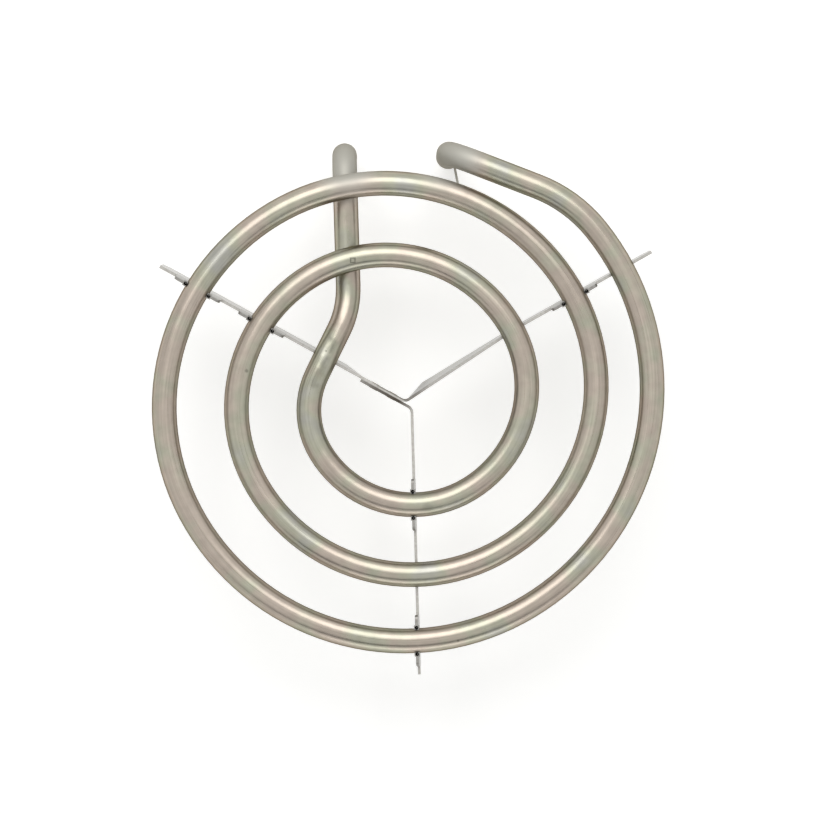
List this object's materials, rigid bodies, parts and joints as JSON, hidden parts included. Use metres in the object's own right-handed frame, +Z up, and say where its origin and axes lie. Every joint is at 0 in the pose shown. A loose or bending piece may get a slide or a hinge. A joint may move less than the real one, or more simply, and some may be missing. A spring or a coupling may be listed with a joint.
{
  "type": "tubular heating element",
  "caption": "Flat spiral tubular heating element on a three-armed strip spider, with both ends bent down to flag tabs.",
  "frame": {"origin": "centre of the coil, in the plane of the tube's centreline", "axes": "+Z up along the coil's axis, away from the spider; +Y towards the two terminal legs; +X to the right seen from above"},
  "size_m": [0.1756, 0.1833, 0.0447],
  "materials": {
    "sheath_metal": "annealed nickel alloy, satin, warm grey",
    "magnesia": "compacted magnesium oxide powder",
    "resistance_alloy": "bare resistance wire",
    "pin_steel": "nickel-plated steel",
    "sealing_compound": "cured silicone compound",
    "bush_ceramic": "unglazed steatite",
    "tab_metal": "nickel-plated steel sheet",
    "strip_metal": "bright stainless strip, sheared edges"
  },
  "bodies": {
    "root": {"sheath": "sheath_metal", "magnesia_fill": "magnesia", "resistance_winding": "resistance_alloy", "inner_cold_pin": "pin_steel", "outer_cold_pin": "pin_steel", "inner_end_seal": "sealing_compound", "outer_end_seal": "sealing_compound", "inner_ceramic_bush": "bush_ceramic", "outer_ceramic_bush": "bush_ceramic", "inner_terminal_tab": "tab_metal", "outer_terminal_tab": "tab_metal", "spider_long_strip": "strip_metal", "spider_short_strip": "strip_metal"}
  },
  "joints": []
}
